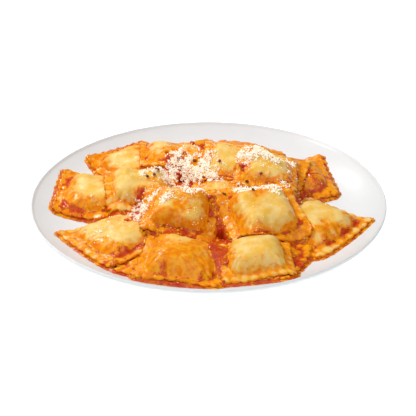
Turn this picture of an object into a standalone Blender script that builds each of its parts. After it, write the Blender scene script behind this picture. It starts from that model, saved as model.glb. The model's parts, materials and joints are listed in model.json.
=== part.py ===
"""A plate of square ravioli in tomato sauce, heaped on a round coupe plate.

The plate is a turned shape, the sauce a thin pool on it, and each raviolo one closed solid.
The ravioli are laid one after another, from the bottom of the heap to its top.  A height map
holds the top of all that lies there already, so that each new raviolo comes to rest on it and
its soft border droops round what is below.  Sizes are in millimetres, turned into Blender's
metres when a mesh is stored.  The origin is the centre of the plate's foot, +Z is up, and the
diner sits at -Y.
"""

import math

import bmesh
import bpy
import numpy as np
from mathutils import Matrix, Vector

MM = 0.001
GAP = 0.35  # kept between pieces that touch

# The plate
PLATE_RADIUS = 130.0
PLATE_HEIGHT = 22.0
WELL_RADIUS = 76.0  # of the flat middle, where the wall starts to curve up
WELL_HEIGHT = 5.0  # the well's floor above the table
WALL_POWER = 2.3  # how late the wall turns up: 2 is a parabola
WALL_THICKNESS = 3.8
LIP_THICKNESS = 3.6
LIP_ROUNDING = 1.6
WALL_STEPS = 6
FOOT_RADIUS = 68.0  # middle of the foot ring
FOOT_WIDTH = 5.0
FOOT_DEPTH = 1.4  # how far the ring stands below the plate's underside
FOOT_SLOPE = 1.2
PLATE_SEGMENTS = 48

# The sauce
SAUCE_DEPTH = 1.6
SAUCE_THINNING = 0.55  # how much of its depth is gone at its edge
SAUCE_MARGIN = 1.0  # how far it spreads past the pasta
LEAST_REACH = 38.0  # of the sauce from the plate's middle
SAUCE_REACH = 114.0  # it comes no further up the plate's wall
SAUCE_SEGMENTS = 36
SAUCE_RINGS = (0.5, 0.85, 1.0)  # share of the way to its edge
WETTED_HEIGHT = 16.0  # a raviolo whose middle is higher does not lie in the sauce

# One raviolo
SIDE = 57.0
TEETH = 8  # flutes along a side
TOOTH_DEPTH = 1.8
EDGE_THICKNESS = 2.6
FILLED_SHARE = 0.80  # the filling's half width, as a share of the raviolo's
CROWN = 8.6  # the filling's bulge above the middle sheet
BELLY = 3.6  # and below it
BULGE_POWER = 0.6
# Rings of points from the rim inwards: number of points, share of the half width
TOP_RINGS = ((8 * TEETH, 1.0), (24, 0.82), (12, 0.54))
BELLY_RINGS = ((8 * TEETH, 1.0), (12, 0.74))
RIM_SQUARENESS = 14.0  # exponent of the superellipse: high is square, 2 is a circle
PILLOW_SQUARENESS = 5.0

# How a raviolo gives way to what it lies on
SHEET_POINTS = 17  # points across its middle sheet
SWEEPS = 60
SMOOTHING = 0.7  # how far a point moves towards its neighbours, for each sweep
WEIGHT = 0.4  # how hard its border pulls down, for each sweep
STIFF_SHARE = 0.35  # within this share of the half width it does not droop
SOFTNESS_POWER = 1.5
MOST_DROOP = 4.0  # of a corner that hangs free
LEAST_THICKNESS = 2.2
CELL = 1.0  # of the height map
MAP_MARGIN = 4.0  # how far the map goes past the plate
NOTHING = -1000.0  # the map's height where nothing lies
SMALLEST_AREA = 1e-6  # a triangle seen edge on covers no cell
EDGE_ALLOWANCE = 0.02  # so that no cell is missed between two triangles
LIFTS = 12  # tries at raising a solid off the one below
LEAST_LIFT = 0.01
SHARED_LIFT = 0.35  # of a triangle's rise that all its corners take

# The heap, from the bottom up.  For each raviolo: its middle (x, y, z), the direction of its
# side, how far it leans and towards which direction, all in millimetres and degrees, its size
# and how full it is.
HEAP = (
    ("raviolo_core_low", -4, 4, 11, 12, 0, 0, 1.00, 0.8),
    ("raviolo_core_right", 36, -12, 11, -20, 0, 0, 1.00, 0.7),
    ("raviolo_back_right", 25, 73, 18, -22, 5, -90, 1.00, 0.8),
    ("raviolo_right_back", 67, 47, 14, 10, 9, -145, 0.98, 0.7),
    ("raviolo_front_low", -32, -73, 10, -18, 0, 0, 0.95, 0.4),
    ("raviolo_back_left", -57, 67, 14, 36, 4, -50, 1.00, 1.0),
    ("raviolo_left_front", -64, -43, 12, -49, 7, -11, 1.14, 1.0),
    ("raviolo_left", -83, 20, 13, -4, 8, -50, 1.07, 1.0),
    ("raviolo_right", 76, -27, 15, -43, 8, -140, 1.09, 1.0),
    ("raviolo_front_right_low", 38, -72, 10, -22, 0, 0, 0.97, 0.6),
    ("raviolo_front", -17, -77, 12, -10, 5, -110, 1.06, 1.0),
    ("raviolo_front_right", 33, -79, 13, 3, 8, -90, 0.90, 1.0),
    ("raviolo_middle_left", -50, 18, 21, 7, 14, -88, 0.94, 1.0),
    ("raviolo_back_middle", -25, 68, 20, 2, 1, -90, 1.00, 0.9),
    ("raviolo_core_high", 10, -1, 21, -12, 7, -90, 0.96, 0.8),
    ("raviolo_right_middle", 46, 40, 25, -16, 7, -16, 0.96, 0.6),
    ("raviolo_top_left", -1, 53, 30, 42, 10, -15, 0.88, 0.8),
    ("raviolo_top_back", 20, 35, 30, -4, 5, -60, 0.88, 0.7),
    ("raviolo_top_right", 44, 21, 34, -3, 4, 0, 0.77, 0.7),
    ("raviolo_middle", -21, -31, 28, -5, 28, -90, 0.93, 1.1),
    ("raviolo_middle_right", 39, -32, 27, 20, 20, -88, 1.00, 1.1),
)


def plain_material(name, colour, roughness):
    material = bpy.data.materials.new(name)
    material.use_nodes = True
    shader = material.node_tree.nodes["Principled BSDF"]
    shader.inputs["Base Color"].default_value = (*colour, 1.0)
    shader.inputs["Roughness"].default_value = roughness
    shader.inputs["Metallic"].default_value = 0.0
    return material


def add_object(name, mesh, material, collection, place=(0.0, 0.0, 0.0)):
    mesh.materials.append(material)
    made = bpy.data.objects.new(name, mesh)
    made.location = Vector(place) * MM
    collection.objects.link(made)
    return made


def triangles_of(made):
    """The object's evaluated mesh as (points in millimetres, triangles)."""
    bpy.context.view_layer.update()
    graph = bpy.context.evaluated_depsgraph_get()
    evaluated = made.evaluated_get(graph)
    mesh = evaluated.to_mesh()
    mesh.calc_loop_triangles()
    points = np.array([made.matrix_world @ v.co for v in mesh.vertices]) / MM
    faces = np.array([t.vertices for t in mesh.loop_triangles])
    evaluated.to_mesh_clear()
    return points, faces


class HeightMap:
    """The highest point of all that lies on the plate, over a square grid of cells."""

    def __init__(self, reach):
        self.reach = reach
        self.size = int(round(2 * reach / CELL)) + 1
        self.top = np.full((self.size, self.size), NOTHING)

    def cells_of(self, corners):
        """The cells under one triangle: their columns and rows, the triangle's height there, and
        the share that each of its corners has in it."""
        low = np.floor((corners[:, :2].min(axis=0) + self.reach) / CELL).astype(int)
        high = np.ceil((corners[:, :2].max(axis=0) + self.reach) / CELL).astype(int)
        low, high = np.clip([low, high], 0, self.size - 1)
        columns, rows = np.meshgrid(np.arange(low[0], high[0] + 1), np.arange(low[1], high[1] + 1))
        columns, rows = columns.ravel(), rows.ravel()
        across, along = columns * CELL - self.reach, rows * CELL - self.reach
        (ax, ay), (bx, by), (cx, cy) = corners[:, :2]
        double_area = (bx - ax) * (cy - ay) - (cx - ax) * (by - ay)
        if abs(double_area) < SMALLEST_AREA:
            return columns[:0], rows[:0], across[:0], np.empty((0, 3))
        share_b = ((across - ax) * (cy - ay) - (along - ay) * (cx - ax)) / double_area
        share_c = ((bx - ax) * (along - ay) - (by - ay) * (across - ax)) / double_area
        shares = np.stack([1 - share_b - share_c, share_b, share_c], axis=1)
        inside = shares.min(axis=1) >= -EDGE_ALLOWANCE
        return columns[inside], rows[inside], shares[inside] @ corners[:, 2], shares[inside]

    def cover(self, points, faces):
        """Adds a solid: its upper faces raise the map."""
        for corners in points[faces]:
            columns, rows, heights, _ = self.cells_of(corners)
            np.maximum.at(self.top, (rows, columns), heights)

    def spread(self):
        """The map with each cell raised to its highest neighbour."""
        wide = np.pad(self.top, 1, mode="edge")
        size = self.size
        return np.max(
            [wide[i : i + size, j : j + size] for i in range(3) for j in range(3)], axis=0
        )

    def at(self, places):
        """The highest cell at each place or next to it."""
        index = np.round((places[..., :2] + self.reach) / CELL).astype(int)
        found = np.full(places.shape[:-1], NOTHING)
        for i in (-1, 0, 1):
            for j in (-1, 0, 1):
                column = np.clip(index[..., 0] + i, 0, self.size - 1)
                row = np.clip(index[..., 1] + j, 0, self.size - 1)
                found = np.maximum(found, self.top[row, column])
        return found


def lift_clear(points, faces, floor, height_map, followers):
    """Raises points until none of these faces is under the floor, a height for each cell of
    the map.  followers says, for each point, which points go up with it."""
    for _ in range(LIFTS):
        rise = np.zeros(len(points))
        for face in faces:
            columns, rows, heights, shares = height_map.cells_of(points[face])
            if not len(heights):
                continue
            lack = floor[rows, columns] - heights
            part = SHARED_LIFT + (1 - SHARED_LIFT) * np.clip(shares[lack.argmax()], 0, 1)
            rise[face] = np.maximum(rise[face], lack.max() * part)
        if rise.max() < LEAST_LIFT:
            return points
        for corner in np.nonzero(rise)[0]:
            for follower in followers[corner]:
                points[follower, 2] += rise[corner]
    return points


# The plate


def well_height(radius):
    """The height of the plate's upper surface at this distance from its middle."""
    share = max(0.0, (radius - WELL_RADIUS) / (PLATE_RADIUS - WELL_RADIUS))
    return WELL_HEIGHT + (PLATE_HEIGHT - WELL_HEIGHT) * share**WALL_POWER


def plate_profile():
    """The plate's section from the middle of its well, up the wall, round the lip and back
    along its underside."""
    wall_width = PLATE_RADIUS - LIP_ROUNDING - WELL_RADIUS
    corner = LIP_ROUNDING * (1 - math.cos(math.pi / 4))
    wall = [WELL_RADIUS + wall_width * step / WALL_STEPS for step in range(WALL_STEPS)]
    well = [(0.0, WELL_HEIGHT)] + [(radius, well_height(radius)) for radius in wall]
    lip = [
        (PLATE_RADIUS - LIP_ROUNDING, PLATE_HEIGHT),
        (PLATE_RADIUS - corner, PLATE_HEIGHT - corner),
        (PLATE_RADIUS, PLATE_HEIGHT - LIP_ROUNDING),
        (PLATE_RADIUS - corner, PLATE_HEIGHT - LIP_THICKNESS),
    ]
    flank = [(radius, well_height(radius) - WALL_THICKNESS) for radius in wall[:1:-1]]
    outer_foot, inner_foot = FOOT_RADIUS + FOOT_WIDTH / 2, FOOT_RADIUS - FOOT_WIDTH / 2
    foot = [
        (outer_foot + FOOT_SLOPE, FOOT_DEPTH),
        (outer_foot, 0.0),
        (inner_foot, 0.0),
        (inner_foot - FOOT_SLOPE, FOOT_DEPTH),
        (0.0, FOOT_DEPTH),
    ]
    return well + lip + flank + foot


def make_plate(collection):
    profile = bpy.data.meshes.new("plate")
    points = [(radius * MM, 0.0, height * MM) for radius, height in plate_profile()]
    profile.from_pydata(points, [(i, i + 1) for i in range(len(points) - 1)], [])
    china = plain_material("glazed_china", (0.86, 0.87, 0.87), 0.12)
    plate = add_object("plate", profile, china, collection)
    screw = plate.modifiers.new("turn", "SCREW")
    screw.steps = screw.render_steps = PLATE_SEGMENTS
    screw.use_merge_vertices = True
    screw.merge_threshold = 0.0001
    screw.use_smooth_shade = True
    return plate


# The sauce


def reach_of_heap(angle):
    """How far the pasta that lies in the sauce reaches from the middle in this direction."""
    direction = np.array([math.cos(angle), math.sin(angle)])
    furthest = LEAST_REACH
    for _, x, y, z, turn, _, _, size, _ in HEAP:
        if z > WETTED_HEIGHT:
            continue
        side = math.radians(turn)
        axes = np.array([[math.cos(side), math.sin(side)], [-math.sin(side), math.cos(side)]])
        for distance in np.arange(furthest, SAUCE_REACH, CELL):
            if np.abs(axes @ (direction * distance - (x, y))).max() < SIDE * size / 2:
                furthest = distance
    return furthest


def sauce_edge():
    """The pool's outline: its directions, and how far it reaches in each."""
    angles = np.arange(SAUCE_SEGMENTS) * math.tau / SAUCE_SEGMENTS
    reach = np.array([reach_of_heap(angle) for angle in angles])
    smooth = (np.roll(reach, 1) + 2 * reach + np.roll(reach, -1)) / 4
    return angles, np.minimum(smooth + SAUCE_MARGIN, SAUCE_REACH)


def sauce_faces():
    """Triangles from the middle point out, ring by ring, and the walls at the edge."""
    faces, walls = [], []
    count = 1 + SAUCE_SEGMENTS * len(SAUCE_RINGS)
    for i in range(SAUCE_SEGMENTS):
        after = (i + 1) % SAUCE_SEGMENTS
        faces.append((0, 1 + i, 1 + after))
        for ring in range(len(SAUCE_RINGS) - 1):
            inner, outer = 1 + ring * SAUCE_SEGMENTS, 1 + (ring + 1) * SAUCE_SEGMENTS
            faces.append((inner + i, outer + i, outer + after))
            faces.append((inner + i, outer + after, inner + after))
        here, next_one = count - SAUCE_SEGMENTS + i, count - SAUCE_SEGMENTS + after
        walls.append((here, next_one, next_one + count))
        walls.append((here, next_one + count, here + count))
    return np.array(faces), walls


def make_sauce(height_map, collection):
    """A thin pool that follows the well, thicker in the middle than at its edge."""
    angles, edge = sauce_edge()
    outwards = np.stack([np.cos(angles) * edge, np.sin(angles) * edge], axis=1)
    ground = np.vstack([[(0.0, 0.0)]] + [outwards * share for share in SAUCE_RINGS])
    shares = np.array([0.0, *np.repeat(SAUCE_RINGS, SAUCE_SEGMENTS)])
    faces, walls = sauce_faces()
    bottom = np.column_stack([ground, height_map.at(ground) + GAP])
    alone = [(i,) for i in range(len(bottom))]
    bottom = lift_clear(bottom, faces, height_map.spread() + GAP, height_map, alone)
    top = bottom.copy()
    top[:, 2] += SAUCE_DEPTH * (1 - SAUCE_THINNING * shares**3)

    mesh = bpy.data.meshes.new("sauce")
    upper = [tuple(face + len(ground)) for face in faces]
    lower = [tuple(face[::-1]) for face in faces]
    mesh.from_pydata(np.vstack([bottom, top]) * MM, [], upper + lower + walls)
    sauce = plain_material("tomato_sauce", (0.62, 0.12, 0.02), 0.25)
    return add_object("sauce", mesh, sauce, collection)


# The ravioli


def square_point(around, squareness):
    """A point on a rounded square of half width 1, around being 0 to 4 sides."""
    side, along = divmod(around, 1.0)
    x, y = 1.0, 2 * along - 1.0
    shrink = (abs(x) ** squareness + abs(y) ** squareness) ** (-1 / squareness)
    turned = Matrix.Rotation(side * math.pi / 2, 2) @ Vector((x, y))
    return turned * shrink


def bulge(share):
    """The filling's height as a share of its full height, at this share of the half width."""
    return np.clip(1.0 - (share / FILLED_SHARE) ** 2, 0.0, 1.0) ** BULGE_POWER


def ring_points(rings, height, tooth):
    """The points of one face of the flat raviolo, ring by ring from the rim in, then its middle
    point.  height is the filling's, above the middle sheet or, if negative, below it."""
    half_edge = math.copysign(EDGE_THICKNESS / 2, height)
    found = []
    for count, share in rings:
        at_rim = share == 1.0
        for i in range(count):
            point = square_point(4 * i / count, RIM_SQUARENESS if at_rim else PILLOW_SQUARENESS)
            point *= share - tooth if at_rim and i % 2 == 0 else share
            found.append((point.x, point.y, half_edge + height * bulge(share)))
    return found + [(0.0, 0.0, half_edge + height)]


def loft(bm, rings, start):
    """Triangles between each ring and the next, and a fan to the middle point."""
    for (count, _), (next_count, _) in zip(rings, rings[1:] + ((1, 0.0),)):
        after = start + count
        i = j = 0
        while i < count or (j < next_count and next_count > 1):
            outer, inner = bm.verts[start + i % count], bm.verts[after + j % next_count]
            if next_count == 1 or (i + 0.5) / count <= (j + 0.5) / next_count:
                i += 1
                bm.faces.new((outer, bm.verts[start + i % count], inner))
            else:
                j += 1
                bm.faces.new((outer, bm.verts[after + j % next_count], inner))
        start = after


def flat_raviolo(size, fill):
    """(points in millimetres, number of points of the upper face, mesh) of a raviolo that lies
    flat, on its own."""
    half = SIDE * size / 2
    top = ring_points(TOP_RINGS, CROWN * fill, TOOTH_DEPTH / half)
    belly = ring_points(BELLY_RINGS, -BELLY * fill, TOOTH_DEPTH / half)
    points = np.array(top + belly)
    points[:, :2] *= half
    bm = bmesh.new()
    for point in points:
        bm.verts.new(point)
    bm.verts.ensure_lookup_table()
    loft(bm, TOP_RINGS, 0)
    loft(bm, BELLY_RINGS, len(top))
    rim = TOP_RINGS[0][0]
    for i in range(rim):
        after = (i + 1) % rim
        wall = (i, after, len(top) + after, len(top) + i)
        bm.faces.new([bm.verts[corner] for corner in wall])
    bmesh.ops.triangulate(bm, faces=bm.faces)
    bmesh.ops.recalc_face_normals(bm, faces=bm.faces)
    mesh = bpy.data.meshes.new("raviolo")
    bm.to_mesh(mesh)
    bm.free()
    return points, len(top), mesh


def sheet_shift(place, half, belly, height_map):
    """How far the raviolo's middle sheet is above its flat place once it has given way to what
    it lies on and its border has drooped, over a grid of points across it."""
    steps = np.linspace(-1, 1, SHEET_POINTS)
    across, along = np.meshgrid(steps, steps)
    flat = np.stack([across * half, along * half, np.zeros_like(across)], axis=-1)
    share = np.maximum(np.abs(across), np.abs(along))
    depth = EDGE_THICKNESS / 2 + belly * bulge(share)
    lying = flat @ np.array(place.to_3x3()).T + np.array(place.translation)
    floor = height_map.at(lying) + GAP + depth - lying[..., 2]
    soft = np.clip((share - STIFF_SHARE) / (1 - STIFF_SHARE), 0, 1) ** SOFTNESS_POWER
    shift = np.maximum(floor, 0.0)
    for _ in range(SWEEPS):
        wide = np.pad(shift, 1, mode="edge")
        mean = (wide[:-2, 1:-1] + wide[2:, 1:-1] + wide[1:-1, :-2] + wide[1:-1, 2:]) / 4
        shift = (1 - SMOOTHING) * shift + SMOOTHING * mean - WEIGHT * soft
        shift = np.maximum(shift, np.maximum(floor, -MOST_DROOP * soft))
    return shift


def sampled(grid, points, half):
    """The grid's value, read between its points, at each of these places on the raviolo."""
    index = (np.clip(points[:, :2] / half, -1, 1) + 1) / 2 * (SHEET_POINTS - 1)
    low = np.minimum(index.astype(int), SHEET_POINTS - 2)
    part = index - low
    column, row = low[:, 0], low[:, 1]
    near = grid[row, column] * (1 - part[:, 0]) + grid[row, column + 1] * part[:, 0]
    far = grid[row + 1, column] * (1 - part[:, 0]) + grid[row + 1, column + 1] * part[:, 0]
    return near * (1 - part[:, 1]) + far * part[:, 1]


def leaning(x, y, z, turn, lean, towards):
    """The place of a flat raviolo that is turned, and leans down towards a direction."""
    downhill = math.radians(towards)
    axis = Vector((-math.sin(downhill), math.cos(downhill), 0.0))
    tilt = Matrix.Rotation(math.radians(lean), 4, axis)
    return Matrix.Translation((x, y, z)) @ tilt @ Matrix.Rotation(math.radians(turn), 4, "Z")


def make_raviolo(row, height_map, material, collection):
    name, x, y, z, turn, lean, towards, size, fill = row
    half = SIDE * size / 2
    points, top_count, mesh = flat_raviolo(size, fill)
    place = leaning(x, y, z, turn, lean, towards)
    shift = sampled(sheet_shift(place, half, BELLY * fill, height_map), points, half)
    lying = points @ np.array(place.to_3x3()).T + np.array(place.translation)
    lying[:, 2] += shift

    mesh.calc_loop_triangles()
    faces = np.array([t.vertices for t in mesh.loop_triangles])
    rim = TOP_RINGS[0][0]
    rim_pairs = [(i, top_count + i) for i in range(rim)]
    followers = rim_pairs + [(i,) for i in range(rim, top_count)]
    followers += rim_pairs + [(i,) for i in range(top_count + rim, len(points))]
    below = faces[faces.min(axis=1) >= top_count]
    above = faces[faces.max(axis=1) < top_count]
    lying = lift_clear(lying, below, height_map.spread() + GAP, height_map, followers)
    own = HeightMap(height_map.reach)
    own.cover(lying, below)
    lying = lift_clear(lying, above, own.top + LEAST_THICKNESS, own, followers)
    height_map.cover(lying, faces)

    middle = np.array([x, y, lying[:, 2].mean()])
    for vertex, point in zip(mesh.vertices, lying):
        vertex.co = Vector(point - middle) * MM
    mesh.shade_smooth()
    mesh.name = name
    return add_object(name, mesh, material, collection, middle)


def main():
    for old in list(bpy.data.objects):
        bpy.data.objects.remove(old)
    collection = bpy.data.collections.new("plate_of_ravioli")
    bpy.context.scene.collection.children.link(collection)

    height_map = HeightMap(PLATE_RADIUS + MAP_MARGIN)
    height_map.cover(*triangles_of(make_plate(collection)))
    height_map.cover(*triangles_of(make_sauce(height_map, collection)))
    pasta = plain_material("egg_pasta", (0.85, 0.62, 0.24), 0.35)
    for row in HEAP:
        make_raviolo(row, height_map, pasta, collection)


main()
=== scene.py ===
# %% [markdown]
# # A plate of ravioli in tomato sauce
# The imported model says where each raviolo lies, how big it is and how it leans.  This script
# keeps those places and gives the meal its looks: soft fluted pasta, sauce in every hollow,
# grated cheese, chilli flakes and a glazed plate.  Lengths are in millimetres until a mesh is
# stored, because food is easier to think about in millimetres.

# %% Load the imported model
import json
import math
from itertools import product

import bmesh
import bpy
import numpy as np
from mathutils import Matrix, Vector, bvhtree

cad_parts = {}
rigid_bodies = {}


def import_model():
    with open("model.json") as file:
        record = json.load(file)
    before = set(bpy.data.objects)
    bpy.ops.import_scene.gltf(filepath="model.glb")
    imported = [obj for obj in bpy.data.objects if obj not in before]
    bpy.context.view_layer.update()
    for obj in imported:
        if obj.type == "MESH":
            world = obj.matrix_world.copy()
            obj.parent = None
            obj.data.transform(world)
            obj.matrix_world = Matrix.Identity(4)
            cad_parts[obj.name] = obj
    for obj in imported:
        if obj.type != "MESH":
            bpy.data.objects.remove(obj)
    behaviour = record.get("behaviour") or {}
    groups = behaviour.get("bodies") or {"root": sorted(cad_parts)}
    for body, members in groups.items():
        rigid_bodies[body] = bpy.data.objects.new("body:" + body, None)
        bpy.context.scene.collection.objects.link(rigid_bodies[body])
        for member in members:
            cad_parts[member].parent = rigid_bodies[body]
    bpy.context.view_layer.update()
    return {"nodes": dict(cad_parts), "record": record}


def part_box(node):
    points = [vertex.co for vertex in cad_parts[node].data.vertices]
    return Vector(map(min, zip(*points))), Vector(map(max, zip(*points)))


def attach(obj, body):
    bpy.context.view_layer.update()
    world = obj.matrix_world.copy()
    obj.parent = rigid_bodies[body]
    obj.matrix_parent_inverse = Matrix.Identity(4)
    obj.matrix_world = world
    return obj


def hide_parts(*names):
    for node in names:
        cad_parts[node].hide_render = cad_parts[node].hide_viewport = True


for old in list(bpy.data.objects):
    bpy.data.objects.remove(old)
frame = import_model()
MM = 0.001

# %% [markdown]
# ## Small helpers for node trees
# A material is a tree of nodes.  Written out one by one they are long and hard to follow, so
# these helpers each add one node and hand back its output, and a finish then reads like a
# short recipe.


# %% Node helpers
def feed(tree, socket, value):
    """Links an output to this input, or sets its own value."""
    if isinstance(value, bpy.types.NodeSocket):
        tree.links.new(value, socket)
    else:
        socket.default_value = value


def maths(tree, operation, *values):
    node = tree.nodes.new("ShaderNodeMath")
    node.operation = operation
    for socket, value in zip(node.inputs, values):
        feed(tree, socket, value)
    return node.outputs[0]


def ramp(tree, value, low, high):
    """0 below low, 1 above high, and a soft step between."""
    node = tree.nodes.new("ShaderNodeMapRange")
    node.interpolation_type = "SMOOTHSTEP"
    for name, given in (("Value", value), ("From Min", low), ("From Max", high)):
        feed(tree, node.inputs[name], given)
    return node.outputs["Result"]


def noise(tree, place, size, detail=2.0, roughness=0.55):
    """Soft noise from 0 to 1 with blots about this many millimetres wide."""
    node = tree.nodes.new("ShaderNodeTexNoise")
    feed(tree, node.inputs["Vector"], place)
    node.inputs["Scale"].default_value = 1 / (size * MM)
    node.inputs["Detail"].default_value = detail
    node.inputs["Roughness"].default_value = roughness
    return node.outputs["Fac"]


def mixed(tree, share, first, second):
    """The first colour, changed into the second by share."""
    node = tree.nodes.new("ShaderNodeMix")
    node.data_type = "RGBA"
    for index, value in ((0, share), (6, first), (7, second)):
        feed(tree, node.inputs[index], value)
    return node.outputs[2]


def attribute(tree, name):
    node = tree.nodes.new("ShaderNodeAttribute")
    node.attribute_name = name
    return node.outputs["Fac"]


def object_place(tree):
    return tree.nodes.new("ShaderNodeTexCoord").outputs["Object"]


# %% [markdown]
# ## Small helpers for materials
# Every finish starts as a new material and ends with a bump, so those two steps are helpers
# too.  Settings that are the same all over are given by the names of the shader's own inputs.


# %% Material helpers
def new_material(name, **settings):
    """A material and its tree; settings are the shader's own inputs, underscores for spaces."""
    material = bpy.data.materials.new(name)
    material.use_nodes = True
    shader = material.node_tree.nodes["Principled BSDF"]
    for key, value in settings.items():
        shader.inputs[key.replace("_", " ")].default_value = value
    return material, material.node_tree, shader


def bumped(tree, shader, height, distance, strength=1.0):
    """Lets a height pattern, worth this many millimetres, catch the light."""
    bump = tree.nodes.new("ShaderNodeBump")
    bump.inputs["Strength"].default_value = strength
    bump.inputs["Distance"].default_value = distance * MM
    feed(tree, bump.inputs["Height"], height)
    tree.links.new(bump.outputs["Normal"], shader.inputs["Normal"])


# %% [markdown]
# ## One coat of sauce for pasta and pool
# Oil and tomato look the same on the pasta and in the pool.  So the coat is one node group:
# it takes what is under it, how oily and how saucy the surface is there, and gives the
# colour, the gloss and the tiny lumps of pulp.  The amounts come from attributes that the
# script stores on each mesh, and noise frays their edges so that no stain looks airbrushed.


# %% The coat of sauce
LIGHT_OIL = (0.84, 0.34, 0.004, 1)
DEEP_OIL = (0.76, 0.19, 0.002, 1)
RED_SAUCE = (0.72, 0.13, 0.006, 1)
# The darkest red is the colour of thick sauce, and it is also painted shade where sauce lies deep
# in a gap
DARK_SAUCE_AND_SHADE = (0.50, 0.035, 0.003, 1)
BLOTS, GRAINS = 1.3, 0.5  # how strongly broad and fine noise fray the edge of a stain


def make_coat():
    tree = bpy.data.node_groups.new("sauce_coat", "ShaderNodeTree")
    sockets = (
        ("Under", "INPUT", "NodeSocketColor"),
        ("Oil", "INPUT", "NodeSocketFloat"),
        ("Sauce", "INPUT", "NodeSocketFloat"),
        ("Place", "INPUT", "NodeSocketVector"),
        ("Color", "OUTPUT", "NodeSocketColor"),
        ("Roughness", "OUTPUT", "NodeSocketFloat"),
        ("Wetness", "OUTPUT", "NodeSocketFloat"),
        ("Height", "OUTPUT", "NodeSocketFloat"),
    )
    for name, way, kind in sockets:
        tree.interface.new_socket(name, in_out=way, socket_type=kind)
    given = tree.nodes.new("NodeGroupInput").outputs
    result = tree.nodes.new("NodeGroupOutput").inputs
    place = given["Place"]
    broad, middling, fine = (noise(tree, place, size, 3) for size in (7, 3.5, 1.3))
    fray = maths(tree, "MULTIPLY_ADD", broad, BLOTS, maths(tree, "MULTIPLY", fine, GRAINS))
    fray = maths(tree, "SUBTRACT", fray, (BLOTS + GRAINS) / 2)
    oil = ramp(tree, maths(tree, "ADD", given["Oil"], fray), 0.20, 0.68)
    thick = maths(tree, "ADD", given["Sauce"], fray)
    sauce = ramp(tree, thick, 0.46, 0.72)
    oil_colour = mixed(tree, ramp(tree, middling, 0.35, 0.65), LIGHT_OIL, DEEP_OIL)
    # Thick sauce turns darker red. The amount is also raised down in gaps, so there the darker red
    # is painted shade
    depth = ramp(tree, maths(tree, "MULTIPLY_ADD", middling, 0.6, thick), 0.75, 1.35)
    sauce_colour = mixed(tree, depth, RED_SAUCE, DARK_SAUCE_AND_SHADE)
    colour = mixed(tree, oil, given["Under"], oil_colour)
    feed(tree, result["Color"], mixed(tree, sauce, colour, sauce_colour))
    dull = maths(tree, "MULTIPLY_ADD", oil, -0.14, 0.36)
    feed(tree, result["Roughness"], maths(tree, "MULTIPLY_ADD", sauce, -0.06, dull))
    film = maths(tree, "MULTIPLY_ADD", oil, 0.12, 0.03)
    feed(tree, result["Wetness"], maths(tree, "MULTIPLY_ADD", sauce, 0.12, film))
    pulp = maths(tree, "MULTIPLY", maths(tree, "ADD", middling, fine), sauce)
    feed(tree, result["Height"], maths(tree, "MULTIPLY_ADD", fine, 0.25, pulp))
    return tree


coat = make_coat()

# %% [markdown]
# ## Using the coat
# A material places the group once, gives it what lies under the sauce, and joins its outputs to
# the shader.  Joining them is the same for pasta and for sauce, so one helper does it.


# %% The coat in a material
def coated(tree, under, oil, sauce):
    """Places the coat in a material and returns its outputs."""
    node = tree.nodes.new("ShaderNodeGroup")
    node.node_tree = coat
    values = (("Under", under), ("Oil", oil), ("Sauce", sauce), ("Place", object_place(tree)))
    for name, value in values:
        feed(tree, node.inputs[name], value)
    return node.outputs


def wear_coat(tree, shader, made, depth):
    """Joins the coat's outputs to the shader, with its lumps worth depth millimetres."""
    feed(tree, shader.inputs["Base Color"], made["Color"])
    feed(tree, shader.inputs["Roughness"], made["Roughness"])
    feed(tree, shader.inputs["Coat Weight"], made["Wetness"])
    bumped(tree, shader, made["Height"], depth)


print("the coat gives", [s.name for s in coat.interface.items_tree if s.in_out == "OUTPUT"])

# %% [markdown]
# ## The finishes
# Fresh egg pasta is pale yellow, blotched with deeper yellow, and slightly translucent.  The
# sauce is glossy and almost opaque.  Both keep their general reflection low, because a strong
# one lays a grey haze over orange, and get their wet look from a thin sharp coat.  Glazed china
# is white, and its glaze pools very slightly unevenly, which shows only in the highlight.


# %% Finishes
def pasta_finish():
    settings = dict(Subsurface_Weight=0.10, Subsurface_Scale=0.002, Specular_IOR_Level=0.1)
    material, tree, shader = new_material("egg_pasta_in_sauce", Coat_Roughness=0.08, **settings)
    shader.inputs["Subsurface Radius"].default_value = (1.0, 0.5, 0.2)
    place = object_place(tree)
    dough = ramp(tree, noise(tree, place, 9, 4, 0.65), 0.35, 0.65)
    pale = mixed(tree, dough, (0.80, 0.57, 0.20, 1), (0.78, 0.43, 0.05, 1))
    made = coated(tree, pale, attribute(tree, "oil"), attribute(tree, "sauce"))
    wear_coat(tree, shader, made, 0.45)
    return material


def sauce_finish():
    settings = dict(Specular_IOR_Level=0.15, Coat_Roughness=0.06)
    material, tree, shader = new_material("glossy_sauce", **settings)
    made = coated(tree, LIGHT_OIL, 1.0, attribute(tree, "depth"))
    wear_coat(tree, shader, made, 0.6)
    return material


def china_finish():
    settings = dict(Specular_IOR_Level=0.15, Coat_Weight=0.04, Coat_Roughness=0.1)
    material, tree, shader = new_material("white_glaze", **settings)
    place = object_place(tree)
    tone = ramp(tree, noise(tree, place, 60, 2), 0.3, 0.7)
    white = mixed(tree, tone, (0.70, 0.72, 0.725, 1), (0.72, 0.74, 0.745, 1))
    feed(tree, shader.inputs["Base Color"], white)
    feed(tree, shader.inputs["Roughness"], maths(tree, "MULTIPLY_ADD", tone, 0.05, 0.28))
    bumped(tree, shader, noise(tree, place, 18, 2), 0.05, 0.3)
    return material


egg_pasta, tomato_sauce, china = pasta_finish(), sauce_finish(), china_finish()
print("finishes:", [m.name for m in (egg_pasta, tomato_sauce, china)])
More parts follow.
